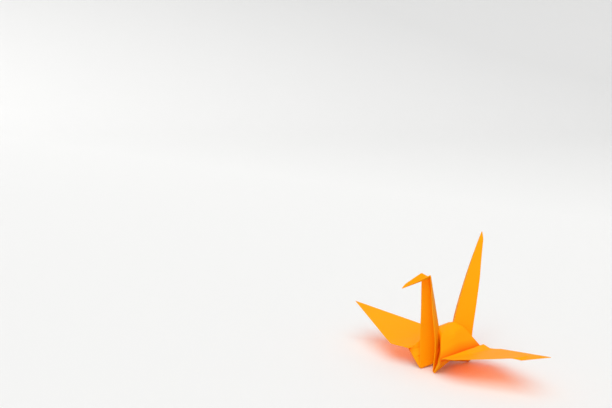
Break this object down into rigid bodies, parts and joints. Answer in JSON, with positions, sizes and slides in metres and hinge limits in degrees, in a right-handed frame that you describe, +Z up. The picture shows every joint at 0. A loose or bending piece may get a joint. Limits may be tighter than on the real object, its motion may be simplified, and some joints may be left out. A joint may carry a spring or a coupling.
{
  "type": "origami crane",
  "caption": "Crane folded from one square sheet of paper, with spread wings, a puffed back, an upright neck with a bent beak and an upright pointed tail.",
  "frame": {"origin": "bottom centre of the box around the crane, on the surface that it stands on", "axes": "+X forward, the way the head points; +Y to the crane's left, along the spread wings; +Z up"},
  "size_m": [0.0658, 0.1432, 0.0736],
  "materials": {
    "paper": "matt, dyed orange"
  },
  "bodies": {
    "root": {"folded_crane": "paper"}
  },
  "joints": []
}
